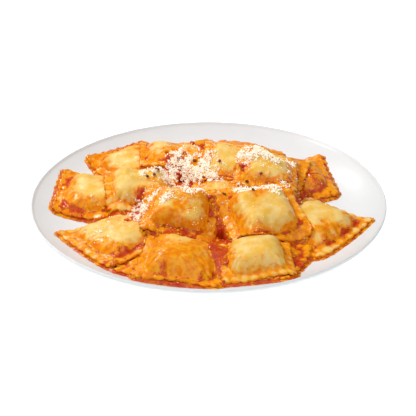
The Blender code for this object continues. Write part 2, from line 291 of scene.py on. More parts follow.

# %% [markdown]
# ## Small helpers for pieces
# Every piece is one plain mesh at the origin.  `new_piece` makes it from points and faces, and
# stores amounts such as oil on its points.  `finish_piece` gives it its material, hides the part of
# the imported model that it stands for, and hangs it on the model's root body.


# %% Piece helpers
def new_piece(name, points, faces, **attributes):
    """A smooth mesh object from points in millimetres; an attribute has a value for each."""
    mesh = bpy.data.meshes.new(name)
    mesh.from_pydata(np.asarray(points) * MM, [], faces)
    for key, values in attributes.items():
        layer = mesh.attributes.new(key, "FLOAT", "POINT")
        layer.data.foreach_set("value", np.asarray(values, dtype=np.float32).ravel())
    mesh.shade_smooth()
    made = bpy.data.objects.new(name, mesh)
    bpy.context.scene.collection.objects.link(made)
    return made


def finish_piece(piece, material, stands_for=None):
    piece.data.materials.clear()
    piece.data.materials.append(material)
    if stands_for:
        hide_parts(stands_for)
    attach(piece, "root")
    return piece


# %% [markdown]
# ## The plate
# A coupe plate has no flat rim: its wall curves up out of the well.  On the real one the
# potter turns it, so here too it is one section turned round an axis.  The model's own plate
# has the right section but few sides; this one has four times as many, so that its edge is
# round and its glaze reflects without facets.

# %% Turn the plate
PLATE_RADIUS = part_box("plate")[1].x / MM
PLATE_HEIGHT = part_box("plate")[1].z / MM
WELL_RADIUS, WELL_HEIGHT, WALL_POWER = 76.0, 5.0, 2.3
WALL_THICKNESS, LIP_ROUNDING = 3.8, 1.8
FOOT_RADIUS, FOOT_WIDTH, FOOT_DEPTH = 68.0, 5.0, 1.4
PLATE_SEGMENTS = 192


def plate_top(radius):
    """The height of the plate's upper face at this distance from its middle."""
    share = np.clip((radius - WELL_RADIUS) / (PLATE_RADIUS - WELL_RADIUS), 0, None)
    return WELL_HEIGHT + (PLATE_HEIGHT - WELL_HEIGHT) * share**WALL_POWER


def plate_section():
    """(radius, height) from the middle of the well, over the lip, to the underside's middle."""
    wall = np.linspace(WELL_RADIUS - 6, PLATE_RADIUS - LIP_ROUNDING, 30)
    upper = [(0.0, WELL_HEIGHT), (30.0, WELL_HEIGHT), *((r, plate_top(r)) for r in wall)]
    angles = np.radians(np.linspace(70, -80, 9))
    middle = (PLATE_RADIUS - LIP_ROUNDING, PLATE_HEIGHT - LIP_ROUNDING)
    lip = [
        (middle[0] + LIP_ROUNDING * math.cos(a), middle[1] + LIP_ROUNDING * math.sin(a))
        for a in angles
    ]
    flank = [(r, plate_top(r) - WALL_THICKNESS) for r in wall[-2:5:-1]]
    outer, inner = FOOT_RADIUS + FOOT_WIDTH / 2, FOOT_RADIUS - FOOT_WIDTH / 2
    foot = [(outer + 1.6, FOOT_DEPTH), (outer + 0.5, 0.8), (outer, 0.25), (outer - 0.5, 0.0)]
    foot += [(inner + 0.5, 0.0), (inner, 0.25), (inner - 0.5, 0.8), (inner - 1.6, FOOT_DEPTH)]
    return upper + lip + flank + foot + [(0.0, FOOT_DEPTH)]


def turned(name, section, segments):
    """A closed turned shape, from a section that starts and ends on the axis."""
    angles = np.arange(segments) * math.tau / segments
    around = np.column_stack([np.cos(angles), np.sin(angles)])
    points = [(0.0, 0.0, section[0][1])]
    for radius, height in section[1:-1]:
        points += [(radius * x, radius * y, height) for x, y in around]
    points.append((0.0, 0.0, section[-1][1]))
    faces = []
    last = 1 + (len(section) - 3) * segments
    for i in range(segments):
        after = (i + 1) % segments
        faces += [(0, 1 + i, 1 + after), (last + i, len(points) - 1, last + after)]
        for inner in range(1, last, segments):
            outer = inner + segments
            faces.append((inner + i, outer + i, outer + after, inner + after))
    return new_piece(name, np.array(points), faces)


plate = turned("coupe_plate", plate_section(), PLATE_SEGMENTS)
finish_piece(plate, china, "plate")
print("plate: radius", round(PLATE_RADIUS, 1), "faces", len(plate.data.polygons))

# %% [markdown]
# ## Lumpy noise
# Food is never quite even.  `cloud` gives smooth random values from 0 to 1 at any points in
# space, with lumps of a chosen size.  It mixes the values at the eight corners of the grid
# cube round each point.  The seed makes it the same on every run.


# %% Cloud noise
def cloud(points, size, seed):
    table = np.random.default_rng(seed).random((32, 32, 32))
    place = np.asarray(points) / size
    low = np.floor(place).astype(int)
    part = place - low
    part = part * part * (3 - 2 * part)
    total = 0.0
    for corner in product((0, 1), repeat=3):
        weight = np.prod(np.where(corner, part, 1 - part), axis=-1)
        index = (low + corner) % 32
        total = total + weight * table[index[..., 0], index[..., 1], index[..., 2]]
    return total


# %% [markdown]
# ## Reading how a raviolo lies
# Each raviolo of the model is a simple closed solid.  Its plane comes from the spread of its
# points: the direction in which they spread least is its face.  The turn of its sides is that
# of the smallest rectangle round them.  Rays from above and below then measure its two faces,
# and taking the filling's bulge away leaves the middle sheet, bent as the pasta is bent.

# %% Read the lie of each raviolo
EDGE = 2.6  # thickness of the two sheets at the border of the model
CROWN, BELLY = 8.6, 3.6  # the filling's bulge above and below the middle sheet
SHEET_GRID = 33  # rays along each side
SHEET_REACH = 0.97  # how far out the rays go, as a share of the half side
RAY_START = 60.0  # rays start this far above and below a raviolo


def smallest_rectangle(flat):
    """(turn, middle, half sizes) of the smallest rectangle round points in a plane."""
    best = None
    for turn in np.radians(np.arange(-45, 45, 0.25)):
        axes = np.array([[np.cos(turn), np.sin(turn)], [-np.sin(turn), np.cos(turn)]])
        placed = flat @ axes.T
        low, high = placed.min(axis=0), placed.max(axis=0)
        area = np.prod(high - low)
        if best is None or area < best[0]:
            best = (area, turn, (low + high) / 2 @ axes, (high - low) / 2)
    return best[1:]


# %% [markdown]
# ## Grids of heights
# A bent sheet, or the heap seen from above, is kept as a grid of heights.  Two tools are needed
# at once: one that smooths a grid, and one that guesses the cells that no ray reached.


# %% Smooth and patch a grid
def softened(layer, times):
    """Each cell mixed with its neighbours, this many times."""
    for _ in range(times):
        wide = np.pad(layer, ((1, 1), (0, 0)), mode="edge")
        layer = (wide[:-2] + 2 * wide[1:-1] + wide[2:]) / 4
        wide = np.pad(layer, ((0, 0), (1, 1)), mode="edge")
        layer = (wide[:, :-2] + 2 * wide[:, 1:-1] + wide[:, 2:]) / 4
    return layer


def patched(layer):
    """Fills unknown cells from their known neighbours, working outwards."""
    layer = layer.copy()
    while np.isnan(layer).any():
        known = np.pad(~np.isnan(layer), 1).astype(float)
        value = np.pad(np.nan_to_num(layer), 1)
        rows, columns = layer.shape
        parts = [(i, j) for i, j in product(range(3), repeat=2)]
        count = sum(known[i : i + rows, j : j + columns] for i, j in parts)
        total = sum(value[i : i + rows, j : j + columns] for i, j in parts)
        empty = np.isnan(layer) & (count > 0)
        layer[empty] = total[empty] / count[empty]
    return layer


# %% [markdown]
# ## Measuring one raviolo
# Now the plane, the rectangle and the rays come together.  The result is a small dictionary for
# each raviolo: its middle, its three directions, its half sides, its bent sheet and its filling.


# %% Measure every raviolo
def lie_of(node):
    """Where a raviolo lies, how it is turned, how it bends and how full it is."""
    shell = bmesh.new()
    shell.from_mesh(frame["nodes"][node].data)
    bmesh.ops.remove_doubles(shell, verts=shell.verts, dist=1e-6)
    shell.transform(Matrix.Scale(1 / MM, 4))
    points = np.array([v.co for v in shell.verts])
    middle = points.mean(axis=0)
    normal = np.linalg.eigh(np.cov((points - middle).T))[1][:, 0]
    normal *= np.sign(normal[2])
    first = np.cross((0.0, 1.0, 0.0), normal)
    first /= np.linalg.norm(first)
    second = np.cross(normal, first)
    turn, centre, half = smallest_rectangle((points - middle) @ np.array([first, second]).T)
    middle = middle + centre @ np.array([first, second])
    side = math.cos(turn) * first + math.sin(turn) * second
    across = np.cross(normal, side)

    tree = bvhtree.BVHTree.FromBMesh(shell)
    shell.free()
    reach = Vector(normal * RAY_START)
    heights = np.full((2, SHEET_GRID, SHEET_GRID), np.nan)
    shares = np.linspace(-1, 1, SHEET_GRID) * SHEET_REACH
    for row, column in product(range(SHEET_GRID), repeat=2):
        place = middle + side * shares[column] * half[0] + across * shares[row] * half[1]
        for face, way in enumerate((1, -1)):
            start = Vector(place) + way * reach
            hit = tree.ray_cast(start, -way * reach)[0]
            if hit is not None:
                heights[face, row, column] = (np.array(hit) - middle) @ normal
    thickness = heights[0] - heights[1]
    lean_up = (CROWN - BELLY) / (CROWN + BELLY) / 2
    sheet = heights.mean(axis=0) - lean_up * (thickness - EDGE)
    centre_height = thickness[SHEET_GRID // 2, SHEET_GRID // 2]
    return {
        "middle": middle,
        "side": side,
        "across": across,
        "normal": normal,
        "half": half,
        "sheet": softened(patched(sheet), 4),
        "fill": (centre_height - EDGE) / (CROWN + BELLY),
    }


RAVIOLI = [row["node"] for row in frame["record"]["subparts"] if "raviolo" in row["node"]]
lies = {node: lie_of(node) for node in RAVIOLI}
print("sides, mm:", {n[8:]: np.round(2 * lie["half"], 1).tolist() for n, lie in lies.items()})

# %% [markdown]
# ## The shape of one raviolo
# Two sheets of dough are pressed together round a spoon of filling, then cut out with a fluted
# wheel.  So there is a pillow, a steep foot where the sheets meet, and a border with a row of
# rounded flutes, each with a low ridge that runs across the border.  All of it is worked out
# over a fine grid: how far a point is from the rim, where it is along its side, and how far it
# is from the middle of the pillow.

# %% Shape one raviolo
PRESSED = 1.9  # thickness of the two sheets where the wheel pressed them
TEETH = 8  # flutes along each side
TOOTH = 1.7  # how deep the wheel cuts between two flutes
PILLOW = 0.75  # the pillow's share of the whole width
FULLNESS = 0.84  # the pillow's height as a share of the model's, whose edges are blunter
GRID = 85  # points along each side
HIDDEN_GRID = 41
HIDDEN = ("core_low", "core_right")  # under all the others


def grid_line(count):
    """Places from -1 to 1, closer together near the rim."""
    even = np.linspace(-1, 1, count)
    return even + 0.3 / math.pi * np.sin(math.pi * even)


def hump(value, middle, width):
    return np.exp(-(((value - middle) / width) ** 2))


def flat_raviolo(half, fill, seed, count, off_centre=(0, 0)):
    """Places in the plane and heights of both faces of a raviolo on a flat board."""
    chance = np.random.default_rng(seed)
    u, v = np.meshgrid(grid_line(count), grid_line(count))
    rim = np.maximum(np.abs(u), np.abs(v))
    inward = (1 - rim) * half.mean()
    along = np.where(np.abs(u) > np.abs(v), v, u)
    flute = np.abs(np.sin(math.pi * TEETH / 2 * (along + 1)))

    square = (np.abs(u) ** 14 + np.abs(v) ** 14 + 1e-12) ** (1 / 14)
    round_off = np.where(rim > 0, rim / square, 1)
    bow = chance.uniform(-0.8, 0.8, 4)
    cut_u = TOOTH * (1 - np.abs(np.sin(math.pi * TEETH / 2 * (v + 1))) ** 0.7)
    cut_v = TOOTH * (1 - np.abs(np.sin(math.pi * TEETH / 2 * (u + 1))) ** 0.7)
    pull_u = (bow[0] + bow[1] * np.sign(u)) * (1 - v**2) * np.abs(u) ** 3
    pull_v = (bow[2] + bow[3] * np.sign(v)) * (1 - u**2) * np.abs(v) ** 3
    x = u * round_off * half[0] + pull_u
    y = v * round_off * half[1] + pull_v
    x -= np.sign(u) * cut_u * np.exp(-(1 - np.abs(u)) * half[0] / 1.6)
    y -= np.sign(v) * cut_v * np.exp(-(1 - np.abs(v)) * half[1] / 1.6)

    spot = np.stack([x, y, np.full_like(x, 7.3 * seed)], axis=-1)
    lumps = 2 * cloud(spot, 13, 1) - 1
    shift = chance.uniform(-0.015, 0.015, 2) + off_centre
    wide = PILLOW + chance.uniform(-0.02, 0.02, 2)
    pillow = np.abs((u - shift[0]) / wide[0]) ** 6 + np.abs((v - shift[1]) / wide[1]) ** 6
    pillow = pillow ** (1 / 6) * (1 + 0.04 * (2 * cloud(spot, 9, 2) - 1))
    dome = np.clip(1 - pillow**3.4, 0, 1) ** 0.7
    bumps = 2 * cloud(spot, 6, 5) - 1
    border = np.clip((pillow - 1) / 0.12, 0, 1)

    edge = PRESSED / 2 * np.sqrt(np.clip(1 - np.clip(1 - inward / 1.3, 0, 1) ** 2, 0, 1))
    thin_rim = np.clip(inward / 1.0, 0, 1)
    bead = 0.55 * (flute**1.2 - 0.35) * hump(inward, 3.2, 3.2)
    crimp = -0.4 * hump(pillow, 1.06, 0.04)
    angle = np.arctan2(v, u)
    folds = 0.45 * np.sin(16 * angle + 5 * lumps) * hump(pillow, 0.92, 0.2)
    wave = 0.8 * (2 * cloud(spot, 17, 3) - 1) * border * np.clip(inward / 4, 0.4, 1)
    detail = (bead + crimp + folds) * thin_rim
    top = edge + FULLNESS * CROWN * fill * dome * (1 + 0.24 * lumps + 0.11 * bumps) + detail
    low = edge + BELLY * fill * dome - 0.6 * detail
    return {
        "u": u,
        "v": v,
        "x": x,
        "y": y,
        "top": top,
        "low": low,
        "wave": wave,
        "pillow": pillow,
        "inward": inward,
        "flute": flute,
    }


# %% [markdown]
# ## The heap from above
# To lay soft pieces on each other the script needs to know what already lies where.  A relief
# is a square grid that stores the highest point over each cell: first the plate, then each
# raviolo as it comes down.  A coarse one is enough for that, and a finer one, made from the
# finished heap, later says where sauce gathers.


# %% The relief
def bilinear(layer, column, row):
    """The layer's value between its cells."""
    column = np.clip(column, 0, layer.shape[1] - 1.001)
    row = np.clip(row, 0, layer.shape[0] - 1.001)
    c, r = column.astype(int), row.astype(int)
    u, v = column - c, row - r
    if layer.ndim == 3:
        u, v = u[..., None], v[..., None]
    near = layer[r, c] * (1 - u) + layer[r, c + 1] * u
    far = layer[r + 1, c] * (1 - u) + layer[r + 1, c + 1] * u
    return near * (1 - v) + far * v


def widened(layer, reach):
    """Each cell raised to the highest within reach cells of it."""
    wide = np.pad(layer, reach, mode="edge")
    rows, columns = layer.shape
    found = layer.copy()
    for i, j in product(range(2 * reach + 1), repeat=2):
        if (i - reach) ** 2 + (j - reach) ** 2 <= (reach + 0.3) ** 2:
            np.maximum(found, wide[i : i + rows, j : j + columns], out=found)
    return found


def filled(layer, reach):
    """Every hollow narrower than twice reach filled level with its lower side."""
    return -widened(-widened(layer, reach), reach)


class Relief:
    def __init__(self, cell):
        self.cell = cell
        line = np.arange(-PLATE_RADIUS, PLATE_RADIUS + cell, cell)
        self.x, self.y = np.meshgrid(line, line)
        self.plate = plate_top(np.hypot(self.x, self.y))
        self.z = self.plate.copy()

    def cover(self, points):
        index = np.rint((points[..., :2] + PLATE_RADIUS) / self.cell).astype(int)
        index = np.clip(index, 0, len(self.z) - 1)
        np.maximum.at(self.z, (index[..., 1], index[..., 0]), points[..., 2])

    def read(self, layer, points):
        place = (points[..., :2] + PLATE_RADIUS) / self.cell
        return bilinear(layer, place[..., 0], place[..., 1])


def denser(grid, times):
    """A grid of points with more points between them."""
    rows = np.linspace(0, grid.shape[0] - 1, times * grid.shape[0])
    columns = np.linspace(0, grid.shape[1] - 1, times * grid.shape[1])
    return bilinear(grid, *np.meshgrid(columns, rows))


# %% [markdown]
# ## Laying the heap
# The ravioli come down one by one, the lowest first.  Cooked pasta is limp: where a raviolo
# would cut into what is below it gives way upwards, and where its border hangs free it droops
# until it touches.  A few dozen rounds of smoothing between those two limits bend each sheet
# the way a real one bends.

# %% Lay the ravioli
SETTLE_CELL = 1.0  # width of a cell while the heap is laid
CLEARANCE = 0.1
DROOP = 2.5  # how far a free corner hangs below the model's
OFF_CENTRE = {"front": (0, -0.06), "front_right": (0, -0.06)}  # fillings spooned on askew
settle = Relief(SETTLE_CELL)
settle.z = settle.z + 0.5  # a film of sauce under the pasta


def settled(points_low, rim):
    """How far each point of a raviolo moves up or down to lie on the heap."""
    floor = settle.read(widened(settle.z, 1), points_low) + CLEARANCE - points_low[..., 2]
    soft = np.clip((rim - 0.45) / 0.55, 0, 1) ** 1.4
    step = 3
    need, weight = floor[::step, ::step], soft[::step, ::step]
    shift = np.maximum(need, 0)
    for _ in range(50):
        shift = 0.3 * shift + 0.7 * softened(shift, 1) - 0.35 * weight
        shift = np.maximum(shift, np.maximum(need, -DROOP * weight))
    place = np.arange(len(floor)) / step
    smooth = bilinear(shift, *np.meshgrid(place, place))
    lack = np.maximum(floor - smooth, 0)
    return smooth + softened(widened(lack, 1), 2)


def lay(node, seed):
    """Shapes a raviolo, bends it like the model's, and lets it down on the heap."""
    lie = lies[node]
    count = HIDDEN_GRID if node[8:] in HIDDEN else GRID
    fill = min(lie["fill"], 1.1)
    flat = flat_raviolo(lie["half"], fill, seed, count, OFF_CENTRE.get(node[8:], (0, 0)))
    grid_place = [(flat[k] / SHEET_REACH + 1) / 2 * (SHEET_GRID - 1) for k in ("u", "v")]
    sheet = bilinear(lie["sheet"], *grid_place) + flat["wave"]
    plane = lie["middle"] + flat["x"][..., None] * lie["side"]
    plane = plane + flat["y"][..., None] * lie["across"]
    top = plane + (sheet + flat["top"])[..., None] * lie["normal"]
    low = plane + (sheet - flat["low"])[..., None] * lie["normal"]
    shift = settled(low, np.maximum(np.abs(flat["u"]), np.abs(flat["v"])))
    top[..., 2] += shift
    low[..., 2] += shift
    settle.cover(denser(top, 2))
    return {**flat, "up": top, "down": low, "half": lie["half"]}


def place_on(name, u, v):
    """A point on a raviolo: u goes from -1 at its left side to 1, v from its near side."""
    upper = laid["raviolo_" + name]["up"]
    line = grid_line(len(upper))
    column, row = (np.interp(share, line, np.arange(len(line))) for share in (u, v))
    return bilinear(upper, column, row)


laid = {node: lay(node, seed) for seed, node in enumerate(RAVIOLI)}
heap_top = max(piece["up"][..., 2].max() for piece in laid.values())
print("laid", len(laid), "ravioli, highest point", round(float(heap_top), 1), "mm")

# %% [markdown]
# ## Where the sauce gathers
# Sauce runs off the crowns and collects in creases and gaps.  Filling the relief level across
# every narrow hollow, then lowering the result a little, gives just that surface: it shows in
# the hollows and is hidden under everything else.  Two widths are filled, fine creases almost
# to the brim and broad gaps a few millimetres short of it.  A thin pool runs a little way out
# from under the pasta, and its edge is uneven.

# %% Fill the hollows
FINE_CELL = 0.6  # width of a cell when sauce is poured
relief = Relief(FINE_CELL)
for piece in laid.values():
    relief.cover(denser(piece["up"], 3))
food = relief.z
ground = np.stack([relief.x, relief.y, food], axis=-1)
narrow = softened(filled(food, 6), 2)
broad = softened(filled(food, 14), 4)
uneven = cloud(ground, 11, 21)

# Places where the sauce stands higher: x, y, radius, how many millimetres
DEEP_SAUCE = (
    (2, -66, 9, 3.0),
    (5, -78, 7, 2.5),
    (-3, -50, 8, 2.0),
    (-57, -20, 9, 2.5),
    (-25, 30, 8, 2.0),
)


def spots(points, places, values=1):
    """The sum of soft round spots over the points, one layer for each value of a place."""
    total = np.zeros((*points.shape[:-1], values))
    for x, y, radius, *amounts in places:
        distance = np.hypot(points[..., 0] - x, points[..., 1] - y)
        total += np.exp(-((distance / radius) ** 2))[..., None] * np.array(amounts)
    return total[..., 0] if values == 1 else np.moveaxis(total, -1, 0)


extra = spots(ground, DEEP_SAUCE)
level = np.maximum(narrow - 1.2 - 1.2 * uneven, broad - 4.2 + 2.2 * uneven + extra)
under_food = (food - relief.plate > 1.0).astype(float)
spread = softened(widened(filled(under_food, 4), 2), 2)
pool = relief.plate + 1.5 * np.clip(2.2 * spread - 1.15 - 0.4 * uneven, 0, 1) ** 0.5 - 0.35
level = np.where(spread > 0.45, level, relief.plate - 1)
level = softened(np.maximum(level, pool), 1)
level += 0.5 * (cloud(ground, 2.4, 22) - 0.5) + 0.3 * (cloud(ground, 1.3, 23) - 0.5)
print("sauce shows on", round(float((level > food).sum() * FINE_CELL**2)), "square mm")


# %% [markdown]
# ## The sauce as a solid
# The part of that surface that shows is cut out cell by cell, with a narrow margin tucked into
# the pasta.  A copy a little lower and a wall round the edge close it into one shell.


# %% Make the sauce
def cut_out(name, grid, top, bottom, wanted, **layers):
    """A closed shell over the wanted cells of a relief, between two heights."""
    rows, columns = np.nonzero(wanted)
    corner = np.arange(top.size).reshape(top.shape)
    a, b = corner[rows, columns], corner[rows, columns + 1]
    c, d = corner[rows + 1, columns + 1], corner[rows + 1, columns]
    used = np.unique(np.concatenate([a, b, c, d]))
    number = np.full(top.size, -1)
    number[used] = np.arange(len(used))
    quads = number[np.stack([a, b, c, d], axis=1)]
    faces = [tuple(q) for q in quads.tolist()]
    faces += [tuple(q[::-1]) for q in (quads + len(used)).tolist()]
    edges = {}
    for quad in quads.tolist():
        for start, end in zip(quad, quad[1:] + quad[:1]):
            if (end, start) in edges:
                del edges[(end, start)]
            else:
                edges[(start, end)] = True
    faces += [(end, start, start + len(used), end + len(used)) for start, end in edges]
    flat = np.stack([grid.x.ravel()[used], grid.y.ravel()[used]], axis=1)
    upper = np.column_stack([flat, top.ravel()[used]])
    lower = np.column_stack([flat, bottom.ravel()[used]])
    values = {key: np.tile(layer.ravel()[used], 2) for key, layer in layers.items()}
    return new_piece(name, np.vstack([upper, lower]), faces, **values)


shows = level > food + 0.05
wanted = widened(shows.astype(float), 1) > 0.5
wanted = (wanted[:-1, :-1] + wanted[1:, :-1] + wanted[:-1, 1:] + wanted[1:, 1:]) > 0
sauce_bottom = np.maximum(np.minimum(level, food) - 1.0, relief.plate + 0.05)
sauce_top = np.maximum(level, sauce_bottom + 0.05)
standing = np.clip((level - np.maximum(food, relief.plate)) / 2.5, 0, 1)
# The depth darkens the sauce. Where the sauce stands thick that is its own colour, and where it
# lies deep below the food round a gap it is painted shade
depth = 0.35 + 0.45 * np.clip((broad - level) / 6, 0, 1) + 0.35 * standing + 0.05 * extra
sauce = cut_out("tomato_sauce", relief, sauce_top, sauce_bottom, wanted, depth=depth)
finish_piece(sauce, tomato_sauce, "sauce")
print("sauce faces:", len(sauce.data.polygons))

# %% [markdown]
# ## Staining the pasta
# Each raviolo wears its own share of oil and sauce.  The table says how much it has all over,
# and then where single spoonfuls landed or missed.  A place is counted from the raviolo's own
# middle, so that a stain stays on its pasta when the heap is laid another way.

# %% How much oil and sauce each raviolo wears
# Raviolo: (oil, sauce) all over, then stains: (place to the right, place away from the diner,
# radius in mm, more oil, more sauce), where 1 is the right or the far side
COVERING = {
    "left": (
        (0.25, 0.12), (-0.95, 0.2, 8, 0.6, 0.45), (-0.8, -0.7, 9, 0.6, 0.5),
        (-0.3, -0.1, 11, -0.35, -0.3), (-0.3, -0.9, 8, 0.5, 0.5),
    ),
    "left_front": (
        (0.25, 0.2), (0.25, 0.1, 7, 0.5, 0.7), (-0.4, -0.7, 6, 0.5, 0.7),
        (-0.8, -0.9, 6, 0.5, 0.6), (-0.3, 0.2, 9, -0.2, -0.2),
    ),
    "front_low": ((0.75, 0.2), (-0.6, -0.5, 8, 0.3, 0.1)),
    "front": (
        (0.72, 0.08), (-0.3, -0.78, 6, 0.3, 0.55), (0.5, -0.78, 6, 0.3, 0.5),
        (-0.2, 0.4, 7, -0.4, -0.1), (-0.9, 0.0, 5, -0.5, -0.3),
    ),
    "front_right": (
        (0.2, 0.04), (-0.1, -0.4, 12, -0.3, -0.2), (0.8, 0.1, 5, 0.6, 0.4),
        (-0.92, 0.3, 5, 0.5, 0.7),
    ),
    "front_right_low": ((0.5, 0.3), (0.9, 0.1, 8, 0.4, 0.5)),
    "right": (
        (0.15, 0.0), (0.0, 0.3, 14, -0.35, -0.2), (0.45, -0.2, 7, 0.5, 0.1),
        (0.74, 0.6, 5, 0.5, 0.8), (0.74, 0.1, 5, 0.5, 0.8), (0.74, -0.4, 5, 0.5, 0.8),
        (0.5, -0.9, 6, 0.5, 0.6),
    ),
    "right_back": (
        (0.7, 0.3), (0.3, -0.2, 8, 0.3, 0.5), (0.5, -0.6, 8, 0.3, 0.5),
        (0.35, 0.3, 4, -0.2, -0.5), (0.95, 0.0, 5, 0.0, -0.5),
    ),
    "right_middle": ((0.35, 0.05), (0.6, -0.2, 6, 0.3, 0.3)),
    "middle_left": (
        (0.15, 0.05), (-0.5, -0.3, 11, -0.3, -0.3), (-0.95, -0.2, 5, 0.6, 0.2),
        (-0.95, 0.5, 5, 0.6, 0.2), (-0.1, -0.5, 5, 0.5, 0.8), (-0.1, -0.85, 6, 0.5, 0.8),
        (0.15, -0.1, 4, 0.4, 0.7),
    ),
    "middle": (
        (0.55, 0.05), (-0.9, 0.2, 5, 0.3, 0.2), (0.9, 0.0, 5, 0.4, 0.7),
        (0.75, 0.45, 4, 0.4, 0.8), (0.5, -0.9, 6, 0.4, 0.4), (-0.3, -0.2, 6, -0.3, -0.1),
        (0.4, -0.5, 7, -0.2, -0.1),
    ),
    "middle_right": (
        (0.3, 0.04), (-0.1, -0.2, 12, -0.35, -0.2), (-0.85, 0.5, 7, 0.35, 0.1),
        (-0.3, -0.9, 6, 0.4, 0.5), (0.3, -0.85, 7, 0.4, 0.5), (0.8, -0.6, 6, 0.4, 0.5),
        (0.1, 0.6, 8, 0.4, 0.3),
    ),
    "back_left": (
        (0.45, 0.12), (-0.5, 0.3, 8, -0.35, -0.2), (0.0, 0.6, 8, 0.4, 0.2),
        (-0.9, -0.3, 6, 0.5, 0.4),
    ),
    "back_middle": (
        (0.35, 0.1), (-0.95, 0.0, 6, 0.5, 0.1), (-0.2, -0.8, 7, 0.5, 0.9),
        (0.2, -0.6, 7, 0.5, 0.9),
    ),
    "top_left": (
        (0.5, 0.15), (-0.9, 0.35, 5, 0.3, 0.5), (0.4, 0.7, 8, 0.5, 0.6),
        (-0.2, 0.1, 5, 0.4, 0.6),
    ),
    "top_back": (
        (0.28, 0.02), (-0.2, -0.2, 9, -0.3, -0.2), (-0.4, -0.65, 4, 0.5, 0.5),
        (0.2, 0.95, 7, 0.5, 0.7),
    ),
    "back_right": ((0.65, 0.35), (0.2, 0.8, 9, 0.4, 0.6)),
    "top_right": (
        (0.28, 0.05), (0.65, -0.5, 4, 0.5, 0.8), (0.4, -0.1, 7, -0.25, -0.2),
        (-0.75, -0.2, 4, 0.4, 0.8),
    ),
    "core_high": ((0.45, 0.1), (-0.4, 0.6, 6, 0.4, 0.5)),
}
print("stains:", sum(len(rows) - 1 for rows in COVERING.values()))

# %% [markdown]
# ## Where a stain settles
# The shape says the rest.  There is more in the crease at the pillow's foot, between the ridges of
# the border and down in the gaps, and less on the crown.  Down in the gaps the extra oil and sauce
# are also painted shade.  Noise breaks all of it up.


# %% Stain one raviolo
def stain(node, piece):
    """(oil, sauce) over the upper face, both also raised down in the gaps as painted shade."""
    points = piece["up"]
    (oil_level, sauce_level), *stains = COVERING.get(node[8:], ((0.8, 0.4),))
    border = np.clip((piece["pillow"] - 0.98) / 0.12, 0, 1)
    crease = hump(piece["pillow"], 1.04, 0.08)
    # Painted shade as well as pooled sauce: the deeper a point lies below the filled heap, the more
    # oil and sauce colour it gets
    sunk = np.clip((relief.read(broad, points) - points[..., 2]) / 7, 0, 1)
    brim = np.clip((relief.read(level, points) - points[..., 2] + 1.2) / 1.5, 0, 1)
    patches = 2 * cloud(points, 12, 31) - 1
    streaks = 2 * cloud(points * (1, 1, 0.5), 5, 32) - 1
    flat = np.stack([piece["x"], piece["y"]], axis=-1)
    placed = [(u * piece["half"][0], v * piece["half"][1], *rest) for u, v, *rest in stains]
    more_oil, more_sauce = spots(flat, placed, 2)
    bead = piece["flute"] ** 1.5 * hump(piece["inward"], 3.2, 3.0)
    slope = np.clip((piece["pillow"] - 0.6) / 0.4, 0, 1) * (1 - border)
    oil = oil_level - 0.05 + 0.52 * border - 0.45 * bead + 0.3 * slope + 0.35 * crease
    oil = oil + 0.35 * patches + 0.15 * streaks + 0.3 * sunk + 0.4 * brim + more_oil
    sauce = sauce_level - 0.18 + 0.30 * crease + 0.14 * border - 0.25 * bead
    sauce = sauce + 0.22 * patches + 0.12 * streaks + 0.35 * sunk + 0.5 * brim + more_sauce
    return np.clip(oil, 0, 1.2), np.clip(sauce, 0, 1.1)


# %% [markdown]
# ## From grids to pasta
# The upper and the lower face are two grids that share their rim, so together they close with
# no seam.  Where the sauce is thick it also stands up in small lumps, as real geometry.


# %% Make the pasta
def closed_faces(count):
    """Quads of two grids of points that share their border."""
    upper = np.arange(count * count).reshape(count, count)
    lower = upper.copy()
    lower[1:-1, 1:-1] = count * count + np.arange((count - 2) ** 2).reshape(count - 2, -1)
    quads = []
    for grid, way in ((upper, 1), (lower, -1)):
        corners = [grid[:-1, :-1], grid[:-1, 1:], grid[1:, 1:], grid[1:, :-1]][::way]
        quads += np.stack(corners, axis=-1).reshape(-1, 4).tolist()
    return quads


def normals(grid):
    """The upward normal at each point of a grid of points."""
    across = np.gradient(grid, axis=1)
    along = np.gradient(grid, axis=0)
    normal = np.cross(across, along)
    return normal / np.linalg.norm(normal, axis=-1, keepdims=True)


def make_raviolo(node, piece):
    oil, sauce = stain(node, piece)
    top = piece["up"]
    film = np.clip((sauce - 0.35) / 0.35, 0, 1) * np.clip(piece["inward"], 0, 1)
    lumps = 0.25 + 0.8 * (cloud(top, 2.2, 33) - 0.4) + 0.4 * (cloud(top, 1.2, 34) - 0.5)
    top = top + normals(top) * (film * lumps)[..., None]
    inner = piece["down"][1:-1, 1:-1].reshape(-1, 3)
    points = np.vstack([top.reshape(-1, 3), inner])
    made = new_piece(
        "pasta_" + node[8:],
        points,
        closed_faces(len(top)),
        oil=np.concatenate([oil.ravel(), np.full(len(inner), 0.8)]),
        sauce=np.concatenate([sauce.ravel(), np.full(len(inner), 0.5)]),
    )
    return finish_piece(made, egg_pasta, node)


pasta = [make_raviolo(node, piece) for node, piece in laid.items()]
print("pasta faces:", sum(len(piece.data.polygons) for piece in pasta))

# %% [markdown]
# ## Strewing
# Cheese and tomato pulp are the same job: many small shapes strewn over a surface, thick in
# some places and thin in others.  That is what Geometry Nodes are for.  One tree does all of
# it: it scatters points where an attribute says so, lifts them a little so that they pile
# up, drops a random shape on each, and makes one real mesh.


